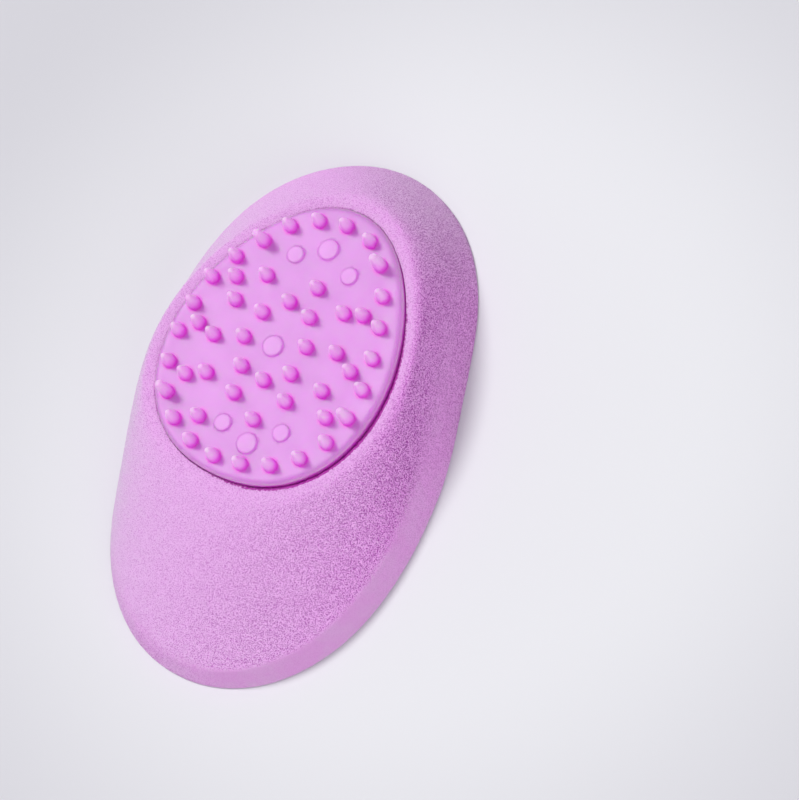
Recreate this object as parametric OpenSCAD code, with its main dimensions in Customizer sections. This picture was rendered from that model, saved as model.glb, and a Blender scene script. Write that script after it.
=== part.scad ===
// A makeup sponge: a soft foam body with a flat back and a crowned front,
// and a silicone pad of cleansing nubs glued into a recess near the nose.
// It lies on its flat back. +Z points out of the front and +Y towards the
// nose. The origin is the middle of the flat back.

/* [Foam body] */
// Length of the body, from heel to nose, along Y
body_l = 88; // [78:0.5:120]
// Width of the body, along X
body_w = 55.5; // [48:0.5:80]
// Height of the foam, from the flat back to the lip round the recess
body_h = 12.2; // [8:0.1:24]
// Height of the upright side, from the flat back to the crease
side_h = 3.7; // [1.5:0.1:5.5]
// How far the side leans in by the time it reaches the crease
side_lean = 1.7; // [0:0.1:2]
// Radius of the edge round the flat back
back_edge_r = 0.6; // [0.2:0.1:1.2]

/* [Recess] */
// Depth of the recess, from the lip down to its floor
recess_depth = 1.8; // [1:0.1:3.5]
// Gap all round, between the recess wall and the pad's plate
recess_gap = 0.3; // [0.1:0.05:0.6]
// Width of the lip round the recess, its rolled edge included
lip_w = 1.9; // [1:0.1:2.4]
// Radius of the rolled edge, from the lip down into the recess
lip_edge_r = 0.7; // [0.3:0.1:0.9]

/* [Nub pad] */
// Length of the pad's plate, along its own long axis
pad_l = 46.8; // [36:0.2:52]
// Width of the pad's plate
pad_w = 39.2; // [28:0.2:42]
// Thickness of the plate, without its nubs and studs
plate_t = 2.3; // [1.2:0.1:3]
// Radius of the edge round the top of the plate
plate_edge_r = 0.9; // [0.3:0.1:1.1]
// How far the pad's middle lies from the body's middle, towards the nose
pad_forward = 9; // [4:0.2:12]
// How far the pad's middle lies off the body's long axis
pad_aside = 0.6; // [-1:0.1:1]
// Turn of the pad's long axis from the body's, in degrees
pad_turn = -13; // [-16:1:16]

/* [Nubs and studs] */
// Diameter of a nub at its root
nub_d = 2.1; // [1.6:0.1:3]
// Diameter of a nub's round tip
nub_tip_d = 1; // [0.6:0.1:1.6]
// Height of a nub above the plate
nub_h = 3.1; // [2:0.1:5]
// Height of one of the few long nubs
long_nub_h = 4.1; // [3:0.1:7]
// Diameter of a long nub's round tip, which is blunter
long_nub_tip_d = 1.4; // [0.6:0.1:1.6]
// Diameter of a large stud
stud_d = 3.5; // [2.6:0.1:4]
// Diameter of a small stud
small_stud_d = 2.9; // [2:0.1:3.4]
// Height of a stud above the plate
stud_h = 0.5; // [0.45:0.05:0.8]
// Radius of the edge round the top of a stud
stud_edge_r = 0.35; // [0.1:0.05:0.45]

/* [Glue film] */
// Thickness of the glue film under the plate
film_t = 0.2; // [0.1:0.05:0.5]
// How far the film stops short of the plate's edge
film_margin = 1.2; // [0.6:0.1:3]

/* [Hidden] */

// How an outline departs from a circle: one share of its mean radius for
// each of these numbers of lobes per turn. The foam's four lobes are turned
// a little, which makes one corner of its heel fuller than the other.
lobes = [2, 3, 4];
body_shares = [0.28, 0, 0.04];
body_lobe_turns = [0, 0, -4];
pad_shares = [-0.03, 0.04, 0];
pad_lobe_turns = [0, 0, 0];
// Points round each outline, and rings up each curved stretch
sides = 64;
back_edge_steps = 3;
crown_steps = 9;
lip_edge_steps = 3;
plate_edge_steps = 3;
tip_steps = 3;
// How fast the crown levels off towards the lip: 1 is a straight slope
crown_power = 1.4;
// How far nubs and studs reach into the plate that they are moulded with
root = plate_t / 3;

recess_floor_z = body_h - recess_depth;
plate_z = recess_floor_z + film_t;
plate_top_z = plate_z + plate_t;

// Places on the plate, as shares of its half width and half length
nub_shares = [
    [-0.02, 0.875], [0.23, 0.845], [-0.26, 0.83], [-0.47, 0.72], [0.57, 0.54],
    [0.03, 0.41], [-0.76, 0.38], [0.505, 0.37], [-0.43, 0.35], [0.68, 0.34],
    [0.345, 0.33], [-0.67, 0.255], [-0.13, 0.25], [0.095, 0.21], [-0.86, 0.185],
    [0.76, 0.135], [-0.57, 0.11], [-0.3, 0.11], [0.465, 0.07], [0.2, 0.02],
    [0.65, -0.005], [-0.885, -0.03], [0.82, -0.08], [-0.335, -0.09],
    [-0.755, -0.135], [-0.585, -0.165], [0.2, -0.185], [0.515, -0.2],
    [-0.88, -0.24], [-0.22, -0.275], [0.015, -0.3], [0.66, -0.35], [0.28, -0.365],
    [-0.47, -0.415], [-0.815, -0.455], [-0.16, -0.46], [-0.63, -0.485],
    [0.775, -0.495], [0.11, -0.565], [0.64, -0.665], [-0.335, -0.7],
    [-0.52, -0.785], [0.44, -0.79], [0.205, -0.865], [-0.285, -0.87],
    [-0.04, -0.895]
];
long_nub_shares = [[0.41, 0.725], [-0.615, 0.555], [0.83, -0.29], [-0.695, -0.645]];
stud_shares = [[-0.065, 0.68], [-0.07, -0.065], [0.16, -0.725]];
small_stud_shares = [[-0.305, 0.56], [0.215, 0.575], [-0.12, -0.67], [0.38, -0.565]];

// Radius of an outline in the direction a from +Y, as a share of its mean
function wave(a, shares, turns) =
    1 + shares * [for (i = [0 : len(lobes) - 1]) cos(lobes[i] * (a - turns[i]))];

// Points of an outline of mean radius 1, anticlockwise from +Y
function unit_outline(shares, turns) =
    [
        for (i = [0 : sides - 1])
            let (a = 360 * i / sides) wave(a, shares, turns) * [-sin(a), cos(a)]
    ];

// The same outline stretched to w by l, its box centred on the origin
function outline(w, l, shares, turns) =
    let (
        pts = unit_outline(shares, turns),
        xs = [for (p = pts) p.x],
        ys = [for (p = pts) p.y],
        mid = [max(xs) + min(xs), max(ys) + min(ys)] / 2,
        span = [max(xs) - min(xs), max(ys) - min(ys)]
    )
    [for (p = pts) [(p.x - mid.x) * w / span.x, (p.y - mid.y) * l / span.y]];

// The body's and the plate's outlines, drawn in by an inset
function body_outline(inset) =
    outline(body_w - 2 * inset, body_l - 2 * inset, body_shares, body_lobe_turns);
function plate_outline(inset) =
    outline(pad_w - 2 * inset, pad_l - 2 * inset, pad_shares, pad_lobe_turns);

// A point of the plate's own frame, in the body's
function on_body(p) =
    [
        pad_aside + p.x * cos(pad_turn) - p.y * sin(pad_turn),
        pad_forward + p.x * sin(pad_turn) + p.y * cos(pad_turn)
    ];
function seat_outline(inset) = [for (p = plate_outline(inset)) on_body(p)];

function ring(pts, z) = [for (p = pts) [p.x, p.y, z]];
function between(from, to, share) = [for (i = [0 : sides - 1]) from[i] + (to[i] - from[i]) * share];

// Closed solid through a stack of rings, first the lowest of the outside
module skin(rings) {
    last = len(rings) - 1;
    walls = [
        for (r = [0 : last - 1], i = [0 : sides - 1])
            let (j = (i + 1) % sides, low = r * sides, high = low + sides)
                each [[low + i, high + j, low + j], [low + i, high + i, high + j]]
    ];
    bottom = [for (i = [0 : sides - 1]) i];
    top = [for (i = [sides - 1 : -1 : 0]) last * sides + i];
    polyhedron([for (r = rings) each r], concat([bottom], walls, [top]));
}

// Rounded edge of the back, then the leaning side, up to the crease
function side_rings() =
    concat(
        [
            for (k = [0 : back_edge_steps])
                let (a = 90 * k / back_edge_steps)
                    ring(body_outline(back_edge_r * (1 - sin(a))), back_edge_r * (1 - cos(a)))
        ],
        [ring(body_outline(side_lean), side_h)]
    );

// Crown, from the crease up to the lip round the recess
function crown_rings() =
    let (crease = body_outline(side_lean), lip = seat_outline(-recess_gap - lip_w))
    [
        for (k = [1 : crown_steps])
            let (
                share = sin(90 * k / crown_steps),
                rise = 1 - pow(1 - share, crown_power)
            )
                ring(between(crease, lip, share), side_h + (body_h - side_h) * rise)
    ];

// Lip's rolled edge, then the recess wall down to its floor
function recess_rings() =
    concat(
        [
            for (k = [0 : lip_edge_steps])
                let (a = 90 * k / lip_edge_steps)
                    ring(
                        seat_outline(-recess_gap - lip_edge_r * (1 - sin(a))),
                        body_h - lip_edge_r * (1 - cos(a))
                    )
        ],
        [ring(seat_outline(-recess_gap), recess_floor_z)]
    );

module foam_body() {
    color("plum") skin(concat(side_rings(), crown_rings(), recess_rings()));
}

module glue_film() {
    color("thistle") translate([0, 0, recess_floor_z])
        linear_extrude(film_t) polygon(seat_outline(film_margin));
}

// Flat plate with a rounded edge round its top
module plate() {
    skin(concat(
        [ring(seat_outline(0), plate_z)],
        [
            for (k = [0 : plate_edge_steps])
                let (a = 90 * k / plate_edge_steps)
                    ring(
                        seat_outline(plate_edge_r * (1 - cos(a))),
                        plate_top_z - plate_edge_r * (1 - sin(a))
                    )
        ]
    ));
}

// Tapered nub with a round tip, its root sunk into the plate
module nub(h, tip_d) {
    tip_r = tip_d / 2;
    rotate_extrude($fn = 24) polygon(concat(
        [[0, -root], [nub_d / 2, -root], [nub_d / 2, 0]],
        [
            for (k = [0 : tip_steps])
                let (a = 90 * k / tip_steps) [tip_r * cos(a), h - tip_r * (1 - sin(a))]
        ]
    ));
}

// Low stud with a flat top and a rounded edge
module stud(d) {
    rotate_extrude($fn = 32) polygon(concat(
        [[0, -root], [d / 2, -root]],
        [
            for (k = [0 : tip_steps])
                let (a = 90 * k / tip_steps)
                    [d / 2 - stud_edge_r * (1 - cos(a)), stud_h - stud_edge_r * (1 - sin(a))]
        ],
        [[0, stud_h]]
    ));
}

// Copies of a piece at places given as shares of the plate's half sizes
module at(shares) {
    for (s = shares) {
        spot = on_body([s.x * pad_w / 2, s.y * pad_l / 2]);
        translate([spot.x, spot.y, plate_top_z]) children();
    }
}

module nub_pad() {
    color("violet") union() {
        plate();
        at(nub_shares) nub(nub_h, nub_tip_d);
        at(long_nub_shares) nub(long_nub_h, long_nub_tip_d);
        at(stud_shares) stud(stud_d);
        at(small_stud_shares) stud(small_stud_d);
    }
}

foam_body();
glue_film();
nub_pad();
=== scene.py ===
import math
from collections import namedtuple

import bpy
import numpy as np
from mathutils import Euler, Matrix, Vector, noise
from mathutils.geometry import delaunay_2d_cdt


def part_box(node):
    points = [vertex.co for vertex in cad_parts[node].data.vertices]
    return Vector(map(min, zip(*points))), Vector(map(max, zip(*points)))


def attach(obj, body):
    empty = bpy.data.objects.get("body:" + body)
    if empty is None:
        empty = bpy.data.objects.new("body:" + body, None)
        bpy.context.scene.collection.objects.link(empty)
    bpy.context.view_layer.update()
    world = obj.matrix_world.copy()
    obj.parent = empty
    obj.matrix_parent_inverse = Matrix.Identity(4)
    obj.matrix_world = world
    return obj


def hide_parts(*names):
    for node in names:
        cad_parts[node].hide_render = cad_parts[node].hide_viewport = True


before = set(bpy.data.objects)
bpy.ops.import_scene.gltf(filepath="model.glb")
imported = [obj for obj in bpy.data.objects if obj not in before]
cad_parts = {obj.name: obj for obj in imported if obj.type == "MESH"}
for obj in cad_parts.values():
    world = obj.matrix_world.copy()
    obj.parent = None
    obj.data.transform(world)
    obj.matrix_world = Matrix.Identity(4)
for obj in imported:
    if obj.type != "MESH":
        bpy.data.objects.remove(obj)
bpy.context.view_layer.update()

MM = 0.001

# Sizes that the frame gives
body_lo, body_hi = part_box("foam_body")
film_lo, film_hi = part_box("glue_film")
BODY_W, BODY_L, BODY_H = body_hi - body_lo
RECESS_FLOOR_Z, PLATE_Z = film_lo.z, film_hi.z

# Outlines: shares of the mean radius for 2, 3 and 4 lobes, and their turns
LOBES = (2, 3, 4)
BODY_SHARES, BODY_LOBE_TURNS = (0.28, 0, 0.04), (0, 0, -4)
PAD_SHARES, PAD_LOBE_TURNS = (-0.03, 0.04, 0), (0, 0, 0)

# Foam body
SIDE_H, SIDE_LEAN, BACK_EDGE_R = 3.7 * MM, 1.7 * MM, 0.3 * MM
RECESS_GAP, LIP_W = 0.3 * MM, 1.9 * MM
CROWN_POWER = 1.4

# Nub pad: its plate, then its nubs and studs
PAD_L, PAD_W, PLATE_T = 46.8 * MM, 39.2 * MM, 2.3 * MM
PAD_FORWARD, PAD_ASIDE, PAD_TURN = 9 * MM, 0.6 * MM, -13
PLATE_TOP_Z = PLATE_Z + PLATE_T
NUB_D, NUB_TIP_D, NUB_H = 2.1 * MM, 1.0 * MM, 3.1 * MM
LONG_NUB_TIP_D, LONG_NUB_H = 1.4 * MM, 4.1 * MM
STUD_D, SMALL_STUD_D, STUD_H, STUD_EDGE_W = 3.5 * MM, 2.9 * MM, 0.3 * MM, 0.2 * MM

# Fillet at the foot of a nub or stud: its width, how many times that it climbs,
# and the share of the gap to a neighbour that it may take. Rings above the foot
# lie as the plate does there, and level out over this height. The sides of a nub
# bulge with this power.
NUB_FOOT, STUD_FOOT, FOOT_CLIMB, FOOT_ROOM_SHARE = 0.07 * MM, 0.04 * MM, 1.6, 0.4
SETTLE_H, NUB_BULGE = 0.7 * MM, 1.8

# Rim of the plate: how far in from its edge, and how far above its top. A ledge
# runs round the edge, then the shoulder rises to a low swelling. The whole
# top has faint ripples.
RIM_INSETS = np.array((0, 0.03, 0.07, 0.12, 0.22, 0.3, 0.4, 0.52, 0.7, 1, 1.5, 2.1, 2.8)) * MM
RIM_RISES = np.array((
    -0.7, -0.55, -0.44, -0.38, -0.35, -0.2, -0.08, -0.01, 0.03, 0.05, 0.04, 0.02, 0)) * MM
RIPPLE_W, RIPPLE_H = 5 * MM, 0.035 * MM

# Places on the plate, as shares of its half width and half length
NUB_SHARES = [
    (-0.02, 0.875), (0.23, 0.845), (-0.26, 0.83), (-0.47, 0.72), (0.57, 0.54),
    (0.03, 0.41), (-0.76, 0.38), (0.505, 0.37), (-0.43, 0.35), (0.68, 0.34),
    (0.345, 0.33), (-0.67, 0.255), (-0.13, 0.25), (0.095, 0.21), (-0.86, 0.185),
    (0.76, 0.135), (-0.57, 0.11), (-0.3, 0.11), (0.465, 0.07), (0.2, 0.02),
    (0.65, -0.005), (-0.885, -0.03), (0.82, -0.08), (-0.335, -0.09), (-0.755, -0.135),
    (-0.585, -0.165), (0.2, -0.185), (0.515, -0.2), (-0.88, -0.24), (-0.22, -0.275),
    (0.015, -0.3), (0.66, -0.35), (0.28, -0.365), (-0.47, -0.415), (-0.815, -0.455),
    (-0.16, -0.46), (-0.63, -0.485), (0.775, -0.495), (0.11, -0.565), (0.64, -0.665),
    (-0.335, -0.7), (-0.52, -0.785), (0.44, -0.79), (0.205, -0.865), (-0.285, -0.87),
    (-0.04, -0.895),
]
LONG_NUB_SHARES = [(0.41, 0.725), (-0.615, 0.555), (0.83, -0.29), (-0.695, -0.645)]
STUD_SHARES = [(-0.065, 0.68), (-0.07, -0.065), (0.16, -0.725)]
SMALL_STUD_SHARES = [(-0.305, 0.56), (0.215, 0.575), (-0.12, -0.67), (0.38, -0.565)]

# The gap round the pad is widest towards this side, narrows away from it by this
# power, and closes at this depth. The lip's rolled edge narrows with it.
GAP_SIDE, GAP_WIDE, GAP_NARROW, GAP_POWER = np.array((0.8, -0.6)), 0.45 * MM, 0.02 * MM, 0.9
GAP_DEPTH, LIP_ROLL_R, LIP_ROLL_NARROW = 0.3 * MM, 0.22 * MM, 0.04 * MM

# How torn the foam is, from 0 to 1, which also paints shade in the gap with the
# torn colour: in the gap at least this, and across the lip by this power of how
# near the gap is
TORN_LEAST, TORN_POWER = 0.4, 6

# How softly the skin turns at the crease, and how sealed the side's skin is, by
# degrees round from the nose. The lip's own turn is as soft all round. The seal
# fades past the crease, over this many times the turn or at least this far.
TURN_ANGLES = (0, 150, 170, 184, 215, 265, 300, 330, 360)
CREASE_TURNS = np.array((1.5, 1.5, 0.9, 0.25, 0.4, 1.1, 1.3, 1.5, 1.5)) * MM
SIDE_SEALS = (0.2, 0.2, 0.4, 0.9, 0.95, 0.6, 0.35, 0.2, 0.2)
LIP_TURN, SEAL_FADE, SEAL_FADE_LEAST = 0.7 * MM, 2, 0.3 * MM

# Relief of the foam: widths and heights of its lumps, dimples, grain and tears.
# A sealed skin loses this share of its grain. Tears lie low by this share of
# their height, and the whole skin by this much. Up to FLAT_H the skin is the flat
# back, which stands proud nowhere. The shifts part dimples and tears from lumps.
LUMP_W, LUMP_H, DIMPLE_W, DIMPLE_H = 9 * MM, 0.04 * MM, 2.4 * MM, 0.02 * MM
GRAIN_WIDTHS, GRAIN_H, GRAIN_SEALED_SHARE = (0.75 * MM, 0.42 * MM), 0.022 * MM, 0.8
TEAR_W, TEAR_H, TEAR_LOW_SHARE = 0.5 * MM, 0.2 * MM, 0.3
SKIN_SINK, FLAT_H = 0.02 * MM, 0.01 * MM
DIMPLE_SHIFT, TEAR_SHIFT = (7, 3, 1), (3, 9, 4)

# Points round the foam, and rings along each stretch of its skin
FOAM_SIDES = 800
BACK_STEPS, EDGE_STEPS, SIDE_STEPS, CROWN_STEPS = 12, 4, 9, 72
LIP_STEPS, ROLL_STEPS, WALL_STEPS, FLOOR_STEPS = 6, 4, 7, 3

# Points round the plate, a nub and a stud, and rings along each stretch of them
PLATE_SIDES, NUB_SIDES, STUD_SIDES = 360, 32, 44
NUB_FOOT_STEPS, NUB_STEPS, NUB_TIP_STEPS = 4, 7, 5
STUD_EDGE_STEPS, STUD_TOP_STEPS, PLATE_SIDE_STEPS = 8, 5, 4

# Pitch of the grid on the plate, how far it keeps from the rim's rings and how far
# all points keep from a foot, then how near two points count as one
PLATE_PITCH, RIM_CLEAR, FOOT_CLEAR, SAME_POINT_MM = 0.5 * MM, 0.3 * MM, 0.12 * MM, 1e-5

# Painted light through thin silicone, from 0 to 1: how much of it the plate has at
# its rim, how far in from there that fades, and the value of a stud. 0 is the thick
# plate, 1 is the tip of a nub, and below 0 is a stud's own paler colour, painted
# light too.
RIM_GLOW, RIM_GLOW_REACH, STUD_GLOW = 0.18, 0.7 * MM, -0.1

# Painted shade: a deeper, darker colour where shade falls round the foot of each
# nub and down the plate's side. How far it reaches out from the foot of a nub, and
# up it, and the share of it that a stud has. On the plate's side it starts this far
# below the top and comes in over this height.
SHADE_OUT, SHADE_UP, STUD_SHADE_SHARE = 0.5 * MM, 1.4 * MM, 0.15
SIDE_SHADE_BELOW, SIDE_SHADE_FADE = 0.4 * MM, 0.25 * MM

# Camera: where it stands, its turns about X, Y and Z in degrees, and its lens
CAMERA_AT = Vector((253.34, -137.56, 516.87)) * MM
CAMERA_ANGLES = (21.06, 19.262, 18.062)
CAMERA_LENS, SENSOR_W, CAMERA_CLIP = 169.5, 36.0, (10 * MM, 10000 * MM)

# Lights: the direction that each shines from, its share of the light in which a
# level surface renders as written, and its width in degrees
KEY_FROM, KEY_SHARE, KEY_ANGLE = Vector((-0.511, 0.238, 0.826)), 0.5, 16
FILL_FROM, FILL_SHARE, FILL_ANGLE = Vector((0.74, -0.62, 0.26)), 0.1, 60
SKY_SHARE, SKY_COLOUR = 0.41, (0.97, 0.97, 1.0)

# Painted shade in the foam's grain, and its bumps, are strongest where the skin
# turns away from the key light, which shines from this side: how strong, by how
# squarely the skin faces it
KEY_LIT_SIDE = np.array((-0.51, 0.24, 0.83))
KEY_FACING_STEPS, GRAIN_SHADE_STEPS = (0, 0.35, 0.6, 0.82), (1.3, 0.92, 0.76, 0.38)

# Painted light and shade: the foam is painted palest where it faces -X, towards the
# key light, and deepest where it faces +X, away from it. It has this share of the
# pale between, and evens out towards the nose and heel at this rate.
LIT_SIDE_SHARE, LIT_SIDE_ENDS = 0.5, 1.6

# Colours, 0 to 255 as on screen. The specks' two are multiplied with the foam's
# own, so they can pass 255. A cloud has this share of the silicone's.
# The foam's deep and pale colours paint shade and light on the sides turned away from and towards
# the key light; the pale one also tints a sealed skin's patches
FOAM_SHADED_SIDE, FOAM_LIT_SIDE_AND_PATCH, FOAM_SKIN = (243, 157, 244), (220, 188, 224), (225, 161, 224)
# Torn foam's colour: partly the torn cut, partly painted shade in the gap
FOAM_TORN_AND_GAP_SHADE = (178, 62, 168)
# The specks' colours: partly the grain's own tone, partly painted shade in the pores
FOAM_SPECK_DARK, FOAM_SPECK_LIGHT = (190, 20, 192), (277, 297, 277)
# The silicone's nub, tip and stud colours are paler: painted light through thin silicone
SILICONE, SILICONE_NUB_GLOW, SILICONE_TIP_GLOW = (226, 147, 232), (255, 163, 243), (255, 200, 251)
# The silicone's deepest colour is painted shade round the feet of the nubs and down the plate's
# side
SILICONE_STUD_GLOW, SILICONE_SHADE, CLOUD_SHARE = (227, 154, 232), (245, 98, 230), 0.98
GLUE, GLUE_BEAD = (232, 220, 232), (214, 190, 216)
# The floor's two colours paint a pool of light, palest in the middle
FLOOR_MIDDLE, FLOOR_EDGE = (235, 235, 239), (215, 214, 220)

# Foam's material: width of its specks, pits and dots, the values between which
# each comes in, and how dark it gets. Their dark is partly the foam's own grain and
# partly painted shade in its pores. Where the skin faces the key light, its specks
# come nearer to one even shade.
SPECK_W, SPECK_FADE, SPECK_DARK = 0.17 * MM, (0.56, 0.32), 0.9
PIT_W, PIT_FADE, PIT_DARK = 0.9 * MM, (0.04, 0.15), 0.55
DOT_W, DOT_FADE, DOT_DARK = 0.5 * MM, (0.15, 0.38), 0.5
EVEN_DARK = 0.32

# Pits and dots are cells, warped by this share of their width, in so many waves to
# a cell. Torn foam's colour, partly painted shade in the gap, has a ragged edge, and
# a sealed skin has pale patches.
WARP_SHARE, WARP_WAVES = 0.6, 1.7
RAG_W, RAG_REACH, RAG_FADE = 0.4 * MM, 1.2, (0.35, 0.7)
PATCH_W, PATCH_SHARE = 5 * MM, 0.3

# Height of the foam's bumps, how many times that its holes and specks are deep,
# and the share of it that a sealed skin keeps. Then how far light scatters in it.
FOAM_BUMP, HOLE_DEPTH, SPECK_DEPTH, SEALED_SHARE = 0.07 * MM, 0.4, 2.0, 0.2
FOAM_SCATTER = 2 * MM

# Silicone's material: the values of painted light through thin silicone where a
# nub's two painted colours come in, and the values between which its clouds come
# in, as the foam's patches do
NUB_FADE, TIP_FADE, CLOUD_FADE = (0.02, 0.25), (0.1, 0.8), (0.35, 0.65)

# Widths of its clouds, its swells and the grain of its sheen, and that grain's
# depth beside the swells'. The grain roughens it between these values, from one
# roughness to the other. Then the height of its bumps, and how far light scatters.
CLOUD_W, SWELL_W, SHEEN_W, SHEEN_DEPTH = 7 * MM, 2.2 * MM, 0.12 * MM, 0.15
SHEEN_FADE, SILICONE_ROUGHNESS, SILICONE_BUMP = (0.3, 0.7), (0.37, 0.41), 0.02 * MM
SILICONE_SCATTER = 5.5 * MM

# Beads in the glue, then the floor: half its width, its palest place and how far
# from there it darkens, both in millimetres. This fall from pale to darker is a
# painted pool of light.
BEAD_W, BEAD_BUMP = 0.8 * MM, 0.05 * MM
FLOOR_HALF_W = 2000 * MM
FLOOR_POOL_AT, FLOOR_LIGHT_FALLOFF = (19, 5), (42, 102)


# Outlines and rings


def outline(w, l, lobe_shares, turns, n):
    """n points of a lobed outline stretched to w by l, anticlockwise from +Y."""
    a = 2 * np.pi * np.arange(n) / n
    lobes = zip(lobe_shares, LOBES, turns)
    r = 1 + sum(share * np.cos(k * (a - math.radians(turn))) for share, k, turn in lobes)
    p = np.column_stack([-r * np.sin(a), r * np.cos(a)])
    mid, span = (p.max(0) + p.min(0)) / 2, np.ptp(p, axis=0)
    return (p - mid) * np.array([w, l]) / span


def body_outline(inset):
    w, l = BODY_W - 2 * inset, BODY_L - 2 * inset
    return outline(w, l, BODY_SHARES, BODY_LOBE_TURNS, FOAM_SIDES)


def on_body(p):
    """Points of the plate's own frame, in the body's."""
    c, s = math.cos(math.radians(PAD_TURN)), math.sin(math.radians(PAD_TURN))
    x, y = p[:, 0], p[:, 1]
    return np.column_stack([PAD_ASIDE + x * c - y * s, PAD_FORWARD + x * s + y * c])


def seat_outline(inset, n=FOAM_SIDES):
    w, l = PAD_W - 2 * inset, PAD_L - 2 * inset
    return on_body(outline(w, l, PAD_SHARES, PAD_LOBE_TURNS, n))


def ring(p, z):
    return np.column_stack([p, np.broadcast_to(z, len(p))])


def circle(middle, r, sides):
    a = 2 * np.pi * np.arange(sides) / sides
    return middle + r * np.column_stack([np.cos(a), np.sin(a)])


def shares(steps):
    """steps even shares, the last of them 1."""
    return [(k + 1) / steps for k in range(steps)]


def quarter(steps):
    """Sine and cosine along a quarter turn, its start left out."""
    return [(math.sin(math.pi / 2 * s), math.cos(math.pi / 2 * s)) for s in shares(steps)]


def ease(x):
    """0 to 1 along a smooth step."""
    x = np.clip(x, 0, 1)
    return x * x * (3 - 2 * x)


# Meshes


def add_mesh(name, points, faces):
    mesh = bpy.data.meshes.new(name)
    mesh.from_pydata([tuple(p) for p in points], [], faces)
    mesh.polygons.foreach_set("use_smooth", [True] * len(mesh.polygons))
    mesh.validate()
    obj = bpy.data.objects.new(name, mesh)
    bpy.context.scene.collection.objects.link(obj)
    return obj


def normals(obj):
    n = np.zeros(len(obj.data.vertices) * 3, np.float32)
    obj.data.vertices.foreach_get("normal", n)
    return n.reshape(-1, 3)


def add_value(obj, name, values):
    """Stores one number for each vertex, for the material to read."""
    layer = obj.data.attributes.new(name, "FLOAT", "POINT")
    layer.data.foreach_set("value", np.asarray(values, np.float32))


def band(low, high):
    """Faces between two rings of points, from one up to the other."""
    sides = len(low)
    return [[low[k], low[k - sides + 1], high[k - sides + 1], high[k]] for k in range(sides)]


def bumps(p, w, h, shift=(0, 0, 0)):
    """Height at p of bumps about w wide and h high."""
    return h * noise.noise(Vector(p) / w + Vector(shift))


# Foam body


def soften(points, reach, passes=4):
    """Rounds the meridians that run through rings of points, each point by its reach."""
    for _ in range(passes):
        gap = np.linalg.norm(np.diff(points, axis=0), axis=2)
        pull = reach[1:-1] ** 2 / passes / (gap[1:] + gap[:-1])
        below, above = pull / gap[:-1], pull / gap[1:]
        carry, soft = np.zeros_like(reach), points.copy()
        for k in range(1, len(points) - 1):
            low, high = below[k - 1], above[k - 1]
            whole = 1 + low + high - low * carry[k - 1]
            carry[k] = high / whole
            soft[k] = (points[k] + low[:, None] * soft[k - 1]) / whole[:, None]
        for k in range(len(points) - 2, 0, -1):
            soft[k] += carry[k][:, None] * soft[k + 1]
        points = soft
    return points


def foam_rings():
    """Rings of the foam's skin from the middle of its back to the middle of the
    recess floor, softened, with two numbers for each point: how sealed it is (0 is
    cut foam, 1 is a skin) and how torn it is, which also paints shade in the gap."""
    around = 360 * np.arange(FOAM_SIDES) / FOAM_SIDES
    turn = np.interp(around, TURN_ANGLES, CREASE_TURNS)
    seal = np.interp(around, TURN_ANGLES, SIDE_SEALS)
    back, side, crease = body_outline(BACK_EDGE_R), body_outline(0), body_outline(SIDE_LEAN)
    seat = seat_outline(0)
    out = seat - seat.mean(0)
    out /= np.linalg.norm(out, axis=1)[:, None]
    wide = np.clip(out @ GAP_SIDE, 0, 1) ** GAP_POWER
    wall = seat + out * (GAP_NARROW + (GAP_WIDE - GAP_NARROW) * wide)[:, None]
    roll_r = LIP_ROLL_NARROW + (LIP_ROLL_R - LIP_ROLL_NARROW) * wide
    lip, roll = seat_outline(-RECESS_GAP - LIP_W), wall + out * roll_r[:, None]
    rings = []

    def add(p, z, turn=0, seal=0, torn_and_gap_shade=0):
        values = [np.broadcast_to(v, FOAM_SIDES) for v in (turn, seal, torn_and_gap_shade)]
        rings.append(np.column_stack([ring(p, z), *values]))

    for s in shares(BACK_STEPS):
        add(back * s, 0)
    for s, c in quarter(EDGE_STEPS):
        add(body_outline(BACK_EDGE_R * (1 - s)), BACK_EDGE_R * (1 - c), 0, seal)
    for s in shares(SIDE_STEPS):
        z = BACK_EDGE_R + (SIDE_H - BACK_EDGE_R) * s
        add(side + (crease - side) * s, z, turn * ease(s), seal)

    length = np.linalg.norm(lip - crease, axis=1)
    seal_reach = np.maximum(SEAL_FADE * turn, SEAL_FADE_LEAST)
    for s in shares(CROWN_STEPS):
        z = SIDE_H + (BODY_H - SIDE_H) * (1 - (1 - s) ** CROWN_POWER)
        fade = 1 - ease(s * length / seal_reach)
        add(crease + (lip - crease) * s, z, turn + (LIP_TURN - turn) * s, seal * fade)
    for s in shares(LIP_STEPS):
        add(lip + (roll - lip) * s, BODY_H, LIP_TURN * (1 - s), 0, s ** TORN_POWER * wide)

    torn_and_gap_shade = np.maximum(wide, TORN_LEAST)
    for s, c in quarter(ROLL_STEPS):
        add(wall + (roll - wall) * (1 - s), BODY_H - roll_r * (1 - c), 0, 0, torn_and_gap_shade)
    wall_top, tight = BODY_H - roll_r, seat + out * GAP_NARROW
    for s in shares(WALL_STEPS):
        depth = (wall_top - RECESS_FLOOR_Z) * s
        closed = ease(depth / GAP_DEPTH)[:, None]
        add(wall + (tight - wall) * closed, wall_top - depth, 0, 0, torn_and_gap_shade)
    middle = tight.mean(0)
    for s in shares(FLOOR_STEPS)[:-1]:
        add(tight + (middle - tight) * s, RECESS_FLOOR_Z)

    rings = np.array(rings)
    return soften(rings[..., :3], rings[..., 3]), rings[..., 4], rings[..., 5]


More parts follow.
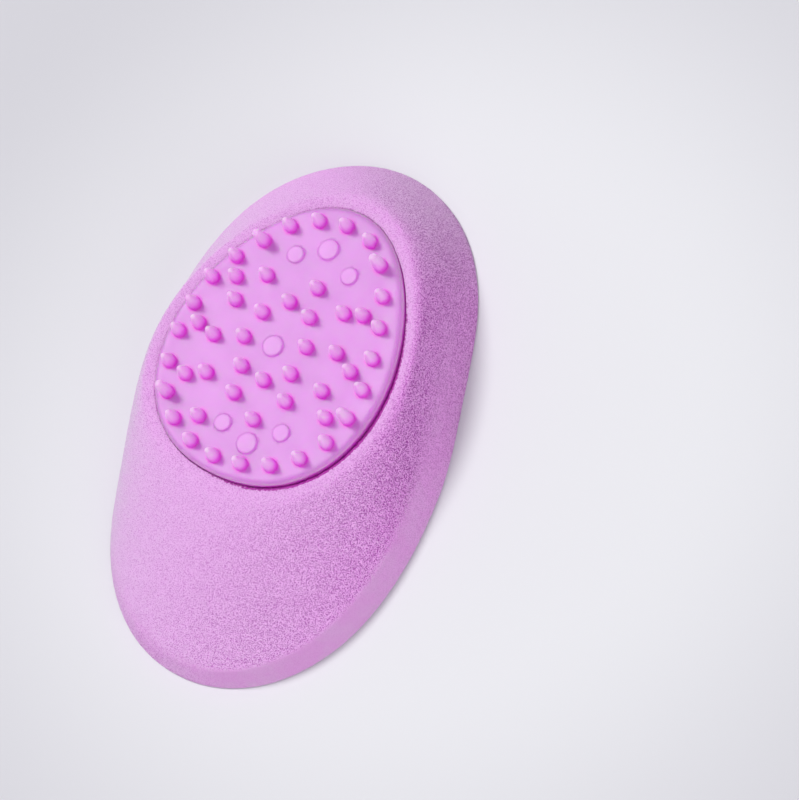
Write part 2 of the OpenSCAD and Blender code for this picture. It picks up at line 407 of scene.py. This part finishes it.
def foam_relief(p, seal, torn_and_gap_shade):
    """How far the skin stands proud of its plain form at p."""
    lumps = bumps(p, LUMP_W, LUMP_H) + bumps(p, DIMPLE_W, DIMPLE_H, DIMPLE_SHIFT)
    grain = sum(bumps(p, w, GRAIN_H) for w in GRAIN_WIDTHS)
    tear = bumps(p, TEAR_W, TEAR_H, TEAR_SHIFT) - TEAR_LOW_SHARE * TEAR_H
    return lumps - SKIN_SINK + (1 - GRAIN_SEALED_SHARE * seal) * grain + torn_and_gap_shade ** 2 * tear


def foam_body():
    rings, seal, torn_and_gap_shade = foam_rings()
    count = len(rings)
    points = rings.reshape(-1, 3)
    i = np.arange(FOAM_SIDES)
    j = (i + 1) % FOAM_SIDES
    faces = []
    for r in range(count - 1):
        low, high = r * FOAM_SIDES, (r + 1) * FOAM_SIDES
        faces += np.column_stack([low + i, low + j, high + j, high + i]).tolist()
    first, last = len(points), len(points) + 1
    points = np.vstack([points, [[0, 0, 0], [*rings[-1][:, :2].mean(0), RECESS_FLOOR_Z]]])
    seal, torn_and_gap_shade = np.append(seal, [0, 0]), np.append(torn_and_gap_shade, [0, 0])
    top = (count - 1) * FOAM_SIDES
    faces += np.column_stack([np.full(FOAM_SIDES, first), j, i]).tolist()
    faces += np.column_stack([np.full(FOAM_SIDES, last), top + i, top + j]).tolist()

    obj = add_mesh("foam_skin", points, faces)
    n = normals(obj)
    rise = np.array([foam_relief(*each) for each in zip(points, seal, torn_and_gap_shade)])
    flat = points[:, 2] < FLAT_H
    rise[flat] = np.minimum(rise[flat], 0)
    obj.data.vertices.foreach_set("co", (points + n * rise[:, None]).ravel())
    obj.data.update()
    # Painted lit side: 1 where the skin faces -X, towards the key light, 0 where it faces +X
    painted_lit_side = LIT_SIDE_SHARE - n[:, 0] * (1 - LIT_SIDE_ENDS * np.abs(n[:, 1]))
    add_value(obj, "seal", seal)
    add_value(obj, "torn_and_gap_shade", torn_and_gap_shade)
    add_value(obj, "painted_lit_side", np.clip(painted_lit_side, 0, 1))
    # Painted shade in the grain, and bump strength, less where the skin faces the key light
    add_value(obj, "grain_shade_and_bump", np.interp(n @ KEY_LIT_SIDE, KEY_FACING_STEPS, GRAIN_SHADE_STEPS))
    return obj


# Nubs and studs

Kind = namedtuple("Kind", "places d height foot sides is_nub profile")
Feature = namedtuple("Feature", "kind middle foot_r profile")


def nub_profile(h, tip_d, foot):
    """Radius and height up a nub, from its foot on the plate to its tip."""
    root_r, tip_r, foot_h = NUB_D / 2, tip_d / 2, FOOT_CLIMB * foot
    profile = [(root_r + foot * (1 - s), foot_h * (1 - c)) for s, c in quarter(NUB_FOOT_STEPS)]
    top = h - tip_r
    for s in shares(NUB_STEPS):
        profile.append((root_r + (tip_r - root_r) * s ** NUB_BULGE, foot_h + (top - foot_h) * s))
    profile += [(tip_r * c, top + tip_r * s) for s, c in quarter(NUB_TIP_STEPS)[:-1]]
    return profile


def stud_profile(d, foot):
    """Radius and height up a stud, from its foot to the middle of its top."""
    foot_r = d / 2 + foot
    profile = [(foot_r - STUD_EDGE_W * s, STUD_H * float(ease(s))) for s in shares(STUD_EDGE_STEPS)]
    inner = profile[-1][0]
    return profile + [(inner * (1 - s), STUD_H) for s in shares(STUD_TOP_STEPS)[:-1]]


def nub_kind(places, h, tip_d):
    return Kind(places, NUB_D, h, NUB_FOOT, NUB_SIDES, True,
                lambda foot: nub_profile(h, tip_d, foot))


def stud_kind(places, d):
    return Kind(places, d, STUD_H, STUD_FOOT, STUD_SIDES, False,
                lambda foot: stud_profile(d, foot))


def pad_features():
    """Each nub and stud. Where two stand close, their feet are narrow enough to
    clear each other."""
    half = np.array([PAD_W, PAD_L]) / 2
    kinds = [
        nub_kind(NUB_SHARES, NUB_H, NUB_TIP_D),
        nub_kind(LONG_NUB_SHARES, LONG_NUB_H, LONG_NUB_TIP_D),
        stud_kind(STUD_SHARES, STUD_D),
        stud_kind(SMALL_STUD_SHARES, SMALL_STUD_D),
    ]
    middles = np.vstack([on_body(np.array(kind.places) * half) for kind in kinds])
    radii = np.concatenate([np.full(len(kind.places), kind.d / 2) for kind in kinds])
    gaps = np.linalg.norm(middles[:, None] - middles, axis=2) - radii - radii[:, None]
    room = np.sort(gaps, axis=1)[:, 1] * FOOT_ROOM_SHARE
    found = []
    for kind in kinds:
        for _ in kind.places:
            k = len(found)
            foot = min(kind.foot, room[k])
            found.append(Feature(kind, middles[k], kind.d / 2 + foot, kind.profile(foot)))
    return found


# Nub pad


def inset_of(p, edge):
    """How far each point of p lies inside the closed outline edge."""
    a, b = edge, np.roll(edge, -1, axis=0)
    d = b - a
    t = ((p[:, None] - a) * d).sum(2) / (d * d).sum(1)
    foot = a + np.clip(t, 0, 1)[..., None] * d
    return np.sqrt(((p[:, None] - foot) ** 2).sum(2)).min(1)


def in_outline(p, edge, middle):
    """Whether p lies inside an outline that is convex about its middle."""
    k = np.argmin(np.linalg.norm(edge - p, axis=1))
    return np.linalg.norm(p - middle) < np.linalg.norm(edge[k] - middle)


def plate_height(p, edge):
    """Height of the plate's top at each point of p, its stepped rim included."""
    rise = np.interp(inset_of(p, edge), RIM_INSETS, RIM_RISES)
    ripple = [bumps((x, y, 0), RIPPLE_W, RIPPLE_H) for x, y in p]
    return PLATE_TOP_Z + rise + np.array(ripple)


def plate_points(features, edge):
    """Points of the plate's top seen from above: the rim's rings, a hexagonal
    grid inside them, and none where a nub or stud stands."""
    rim = [seat_outline(inset, PLATE_SIDES) for inset in RIM_INSETS[1:]]
    inner, middle = rim[-1], edge.mean(0)
    lo, hi = edge.min(0), edge.max(0)
    grid = []
    for k, y in enumerate(np.arange(lo[1], hi[1], PLATE_PITCH * math.sqrt(3) / 2)):
        xs = np.arange(lo[0] + (k % 2) * PLATE_PITCH / 2, hi[0], PLATE_PITCH)
        grid.append(np.column_stack([xs, np.full(len(xs), y)]))
    grid = np.vstack(grid)
    grid = grid[[in_outline(p, inner, middle) for p in grid]]
    grid = grid[inset_of(grid, inner) > RIM_CLEAR]
    p = np.vstack([*rim, grid])
    keep = np.ones(len(p), bool)
    for f in features:
        keep &= np.linalg.norm(p - f.middle, axis=1) > f.foot_r + FOOT_CLEAR
    return p[keep]


def plate_top(features, edge):
    """Points and triangles of the plate's top seen from above, open where a nub
    or stud stands, with the points of its edge and of each foot."""
    flat, edges, loops = [edge], [], [range(PLATE_SIDES)]
    for f in features:
        start = loops[-1].stop
        loops.append(range(start, start + f.kind.sides))
        flat.append(circle(f.middle, f.foot_r, f.kind.sides))
    for loop in loops:
        edges += list(zip(loop, [*loop[1:], loop[0]]))
    flat = np.vstack([*flat, plate_points(features, edge)])
    spots, _, triangles, origins, _, _ = delaunay_2d_cdt(
        [Vector(p) / MM for p in flat], edges, [], 1, SAME_POINT_MM)
    now = {source: k for k, sources in enumerate(origins) for source in sources}
    rim, *feet = [[now[k] for k in loop] for loop in loops]
    foot_of = {k: n for n, foot in enumerate(feet) for k in foot}
    faces = []
    for t in triangles:
        under = {foot_of.get(k) for k in t}
        if len(under) > 1 or None in under:
            faces.append(list(t))
    return np.array([tuple(s) for s in spots]) * MM, faces, rim, feet


def nub_pad():
    edge = seat_outline(0, PLATE_SIDES)
    features = pad_features()
    p, faces, rim, feet = plate_top(features, edge)
    points = [tuple(q) for q in np.column_stack([p, plate_height(p, edge)])]
    # Painted light at the rim, where the silicone is thin
    painted_glow = list(RIM_GLOW * (1 - ease(inset_of(p, edge) / RIM_GLOW_REACH)))
    for foot, feature in zip(feet, features):
        add_stack(points, painted_glow, faces, foot, feature, edge)
    add_plate_side(points, painted_glow, faces, rim)
    pad = add_mesh("silicone_pad", points, faces)
    add_value(pad, "painted_glow", painted_glow)
    # Painted shade round the nubs' feet and down the plate's side
    add_value(pad, "painted_shade", painted_shade_of(np.array(points), features))
    return pad


def add_stack(points, painted_glow, faces, foot, feature, edge):
    """Closes the plate's opening at a nub or stud with rings up its profile, and
    gives each new point its share of painted light through thin silicone."""
    kind, middle = feature.kind, feature.middle
    base_z = float(plate_height(np.array([middle]), edge)[0])
    foot_z = [points[k][2] for k in foot]
    low = foot

    # Painted light through thin silicone: more towards a nub's tip, a stud's own value
    def glow_at(h):
        return h / kind.height if kind.is_nub else STUD_GLOW

    for r, h in feature.profile:
        share = min(1, h / SETTLE_H)
        high = list(range(len(points), len(points) + kind.sides))
        for (x, y), z in zip(circle(middle, r, kind.sides), foot_z):
            points.append((x, y, z * (1 - share) + base_z * share + h))
            painted_glow.append(glow_at(h))
        faces += band(low, high)
        low = high
    tip = len(points)
    points.append((*middle, base_z + kind.height))
    painted_glow.append(glow_at(kind.height))
    faces += [[low[k], low[k - kind.sides + 1], tip] for k in range(kind.sides)]


def add_plate_side(points, painted_glow, faces, rim):
    """The plate's upright side under its rim, and its flat underside."""
    top_z = PLATE_TOP_Z + RIM_RISES[0]
    high = rim
    for s in shares(PLATE_SIDE_STEPS):
        low = list(range(len(points), len(points) + len(rim)))
        for k in rim:
            points.append((*points[k][:2], top_z + (PLATE_Z - top_z) * s))
            # The plate's side takes the rim's painted light
            painted_glow.append(RIM_GLOW)
        faces += band(low, high)
        high = low
    faces.append(high[::-1])


def painted_shade_of(points, features):
    """How much painted shade the silicone's colour takes at each point: 1 is at the
    foot of a nub and down the plate's side."""
    rise = points[:, 2] - PLATE_TOP_Z
    painted_shade = ease((-rise - SIDE_SHADE_BELOW) / SIDE_SHADE_FADE)
    for f in features:
        away = np.linalg.norm(points[:, :2] - f.middle, axis=1) - f.foot_r
        near = (1 - ease(away / SHADE_OUT)) * (1 - ease(rise / SHADE_UP))
        painted_shade = np.maximum(painted_shade, near * (1 if f.kind.is_nub else STUD_SHADE_SHARE * (away > 0)))
    return painted_shade


# Materials


class Material:
    """A node material, with short calls that add and join its nodes."""

    def __init__(self, name):
        self.material = bpy.data.materials.new(name)
        self.material.use_nodes = True
        self.tree = self.material.node_tree
        self.shader = self.tree.nodes["Principled BSDF"]

    def add(self, kind, inputs=None, **settings):
        node = self.tree.nodes.new(kind)
        for key, value in settings.items():
            setattr(node, key, value)
        for key, value in (inputs or {}).items():
            self.feed(node.inputs[key], value)
        return node

    def feed(self, socket, value):
        if isinstance(value, bpy.types.NodeSocket):
            self.tree.links.new(value, socket)
        else:
            socket.default_value = value

    def set(self, **values):
        for key, value in values.items():
            self.feed(self.shader.inputs[key.replace("_", " ")], value)

    def place(self, w):
        """Object coordinates, in steps of w."""
        where = self.add("ShaderNodeTexCoord").outputs["Object"]
        return self.add("ShaderNodeMapping", {"Vector": where, "Scale": (1 / w,) * 3}).outputs[0]

    def noise(self, w, detail=2.0, roughness=0.5):
        inputs = {"Vector": self.place(w), "Scale": 1.0, "Detail": detail, "Roughness": roughness}
        return self.add("ShaderNodeTexNoise", inputs).outputs["Fac"]

    def cells(self, w):
        """Distance from the middle of the nearest of the warped cells about w wide."""
        place = self.place(w)
        inputs = {"Vector": place, "Scale": WARP_WAVES, "Detail": 1.0}
        shift = self.add("ShaderNodeTexNoise", inputs).outputs["Color"]
        place = self.add("ShaderNodeVectorMath", {0: shift, 1: (WARP_SHARE,) * 3, 2: place},
                         operation="MULTIPLY_ADD").outputs[0]
        return self.add("ShaderNodeTexVoronoi", {"Vector": place, "Scale": 1.0}).outputs["Distance"]

    def math(self, operation, *values):
        inputs = dict(enumerate(values))
        return self.add("ShaderNodeMath", inputs, operation=operation).outputs[0]

    def spread(self, value, low, high, to_low=0.0, to_high=1.0):
        inputs = {"Value": value, "From Min": low, "From Max": high,
                  "To Min": to_low, "To Max": to_high}
        node = self.add("ShaderNodeMapRange", inputs, interpolation_type="SMOOTHSTEP")
        return node.outputs["Result"]

    def mix(self, share, a, b, blend="MIX"):
        node = self.add("ShaderNodeMix", data_type="RGBA", blend_type=blend)
        for socket, value in zip((node.inputs[0], node.inputs[6], node.inputs[7]), (share, a, b)):
            self.feed(socket, value)
        return node.outputs[2]

    def value(self, name):
        return self.add("ShaderNodeAttribute", attribute_name=name).outputs["Fac"]

    def bump(self, height, depth, strength=1.0):
        inputs = {"Height": height, "Distance": depth, "Strength": strength}
        self.set(Normal=self.add("ShaderNodeBump", inputs).outputs["Normal"])


def linear(colour):
    """Linear colour, with alpha, of an on-screen colour in 0 to 255."""
    def one(c):
        c /= 255
        return c / 12.92 if c <= 0.04045 else ((c + 0.055) / 1.055) ** 2.4
    return (*map(one, colour), 1)


def foam_material():
    m = Material("open_cell_foam")
    seal, painted_lit_side, grain_shade_and_bump, torn_and_gap_shade = (m.value(name) for name in ("seal", "painted_lit_side", "grain_shade_and_bump", "torn_and_gap_shade"))
    specks = m.spread(m.noise(SPECK_W, roughness=0.6), *SPECK_FADE, 0.0, SPECK_DARK)
    pits = m.math("SUBTRACT", 1.0, m.spread(m.cells(PIT_W), *PIT_FADE))
    dots = m.math("SUBTRACT", 1.0, m.spread(m.cells(DOT_W), *DOT_FADE))

    # Painted shade in the pores and grain, weaker where the skin faces the key light
    dark = m.math("MULTIPLY_ADD", grain_shade_and_bump, m.math("SUBTRACT", specks, EVEN_DARK), EVEN_DARK)
    dark = m.math("MAXIMUM", dark, m.math("MULTIPLY", pits, PIT_DARK))
    dark_dots = m.math("MULTIPLY", m.math("MULTIPLY", dots, grain_shade_and_bump), DOT_DARK)
    dark = m.math("MAXIMUM", dark, dark_dots)
    shade = m.mix(dark, linear(FOAM_SPECK_LIGHT), linear(FOAM_SPECK_DARK))

    # Painted light and shade: paler towards the key light, deeper away from it
    plain = m.mix(painted_lit_side, linear(FOAM_SHADED_SIDE), linear(FOAM_LIT_SIDE_AND_PATCH))
    # Torn foam's colour, partly painted shade in the gap, with a ragged edge
    middle = m.math("SUBTRACT", torn_and_gap_shade, RAG_REACH / 2)
    ragged = m.math("MULTIPLY_ADD", m.noise(RAG_W), RAG_REACH, middle)
    plain = m.mix(m.spread(ragged, *RAG_FADE), plain, linear(FOAM_TORN_AND_GAP_SHADE))
    cut = m.mix(1.0, plain, shade, "MULTIPLY")

    patches = m.spread(m.noise(PATCH_W, detail=3.0), *CLOUD_FADE)
    skin = m.mix(m.math("MULTIPLY", patches, PATCH_SHARE), linear(FOAM_SKIN), linear(FOAM_LIT_SIDE_AND_PATCH))
    m.set(Base_Color=m.mix(seal, cut, skin), Roughness=0.9, Specular_IOR_Level=0.2)
    m.set(Subsurface_Weight=0.3, Subsurface_Radius=(1.0, 0.3, 1.0), Subsurface_Scale=FOAM_SCATTER)

    holes = m.math("MULTIPLY", m.math("MAXIMUM", pits, dots), HOLE_DEPTH)
    height = m.math("MULTIPLY_ADD", specks, -SPECK_DEPTH, m.math("SUBTRACT", 1.0, holes))
    open_share = m.spread(seal, 0.0, 1.0, 1.0, SEALED_SHARE)
    m.bump(height, FOAM_BUMP, m.math("MULTIPLY", grain_shade_and_bump, open_share))
    return m.material


def silicone_material():
    m = Material("soft_silicone")
    painted_glow, painted_shade = m.value("painted_glow"), m.value("painted_shade")
    cloud = linear(tuple(c * CLOUD_SHARE for c in SILICONE))
    colour = m.mix(m.spread(m.noise(CLOUD_W), *CLOUD_FADE), linear(SILICONE), cloud)
    # Painted light through thin silicone: paler nubs, palest at their tips, and paler studs
    colour = m.mix(m.spread(painted_glow, *NUB_FADE), colour, linear(SILICONE_NUB_GLOW))
    colour = m.mix(m.spread(painted_glow, *TIP_FADE), colour, linear(SILICONE_TIP_GLOW))
    colour = m.mix(m.spread(painted_glow, 0.0, STUD_GLOW), colour, linear(SILICONE_STUD_GLOW))
    # Painted shade round the feet of the nubs and down the plate's side
    m.set(Base_Color=m.mix(painted_shade, colour, linear(SILICONE_SHADE)))
    sheen = m.noise(SHEEN_W)
    m.set(Roughness=m.spread(sheen, *SHEEN_FADE, *SILICONE_ROUGHNESS))
    m.set(IOR=1.45, Specular_IOR_Level=0.35, Subsurface_Weight=1.0)
    m.set(Subsurface_Radius=(1.0, 0.04, 0.9), Subsurface_Scale=SILICONE_SCATTER)
    m.bump(m.math("MULTIPLY_ADD", sheen, SHEEN_DEPTH, m.noise(SWELL_W)), SILICONE_BUMP)
    return m.material


def glue_material():
    m = Material("clear_glue")
    beads = m.noise(BEAD_W)
    m.set(Base_Color=m.mix(beads, linear(GLUE), linear(GLUE_BEAD)), Roughness=0.25)
    m.set(Transmission_Weight=0.3, IOR=1.47)
    m.bump(beads, BEAD_BUMP)
    return m.material


def floor_material():
    m = Material("pale_floor")
    inputs = {0: m.place(MM), 1: (*FLOOR_POOL_AT, 0)}
    away = m.add("ShaderNodeVectorMath", inputs, operation="DISTANCE").outputs["Value"]
    # A painted pool of light: palest in the middle, darker outwards
    m.set(Base_Color=m.mix(m.spread(away, *FLOOR_LIGHT_FALLOFF), linear(FLOOR_MIDDLE), linear(FLOOR_EDGE)))
    m.set(Roughness=1.0, Specular_IOR_Level=0.0)
    return m.material


# Stage


def add_floor():
    half = FLOOR_HALF_W
    corners = [(-half, -half, 0), (half, -half, 0), (half, half, 0), (-half, half, 0)]
    floor = add_mesh("floor", corners, [(0, 1, 2, 3)])
    floor.data.materials.append(floor_material())


def add_lamp(name, where, share, angle):
    lamp = bpy.data.lights.new(name, "SUN")
    lamp.energy = math.pi * share / where.normalized().z
    lamp.angle = math.radians(angle)
    obj = bpy.data.objects.new(name, lamp)
    obj.rotation_euler = where.to_track_quat("Z", "Y").to_euler()
    bpy.context.scene.collection.objects.link(obj)


def add_lights():
    add_lamp("key", KEY_FROM, KEY_SHARE, KEY_ANGLE)
    add_lamp("fill", FILL_FROM, FILL_SHARE, FILL_ANGLE)
    world = bpy.data.worlds.new("studio")
    world.use_nodes = True
    back = world.node_tree.nodes["Background"]
    back.inputs["Color"].default_value = (*SKY_COLOUR, 1)
    back.inputs["Strength"].default_value = SKY_SHARE
    bpy.context.scene.world = world


def add_camera():
    data = bpy.data.cameras.new("camera")
    data.lens, data.sensor_width = CAMERA_LENS, SENSOR_W
    data.clip_start, data.clip_end = CAMERA_CLIP
    camera = bpy.data.objects.new("camera", data)
    camera.location = CAMERA_AT
    camera.rotation_euler = Euler([math.radians(a) for a in CAMERA_ANGLES], "XYZ")
    bpy.context.scene.collection.objects.link(camera)
    bpy.context.scene.camera = camera


add_camera()
add_lights()
add_floor()

foam = foam_body()
foam.data.materials.append(foam_material())
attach(foam, "root")
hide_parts("foam_body")

pad = nub_pad()
pad.data.materials.append(silicone_material())
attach(pad, "root")
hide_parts("nub_pad")

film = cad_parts["glue_film"]
film.data.materials.clear()
film.data.materials.append(glue_material())

bpy.context.scene.view_settings.view_transform = "Standard"
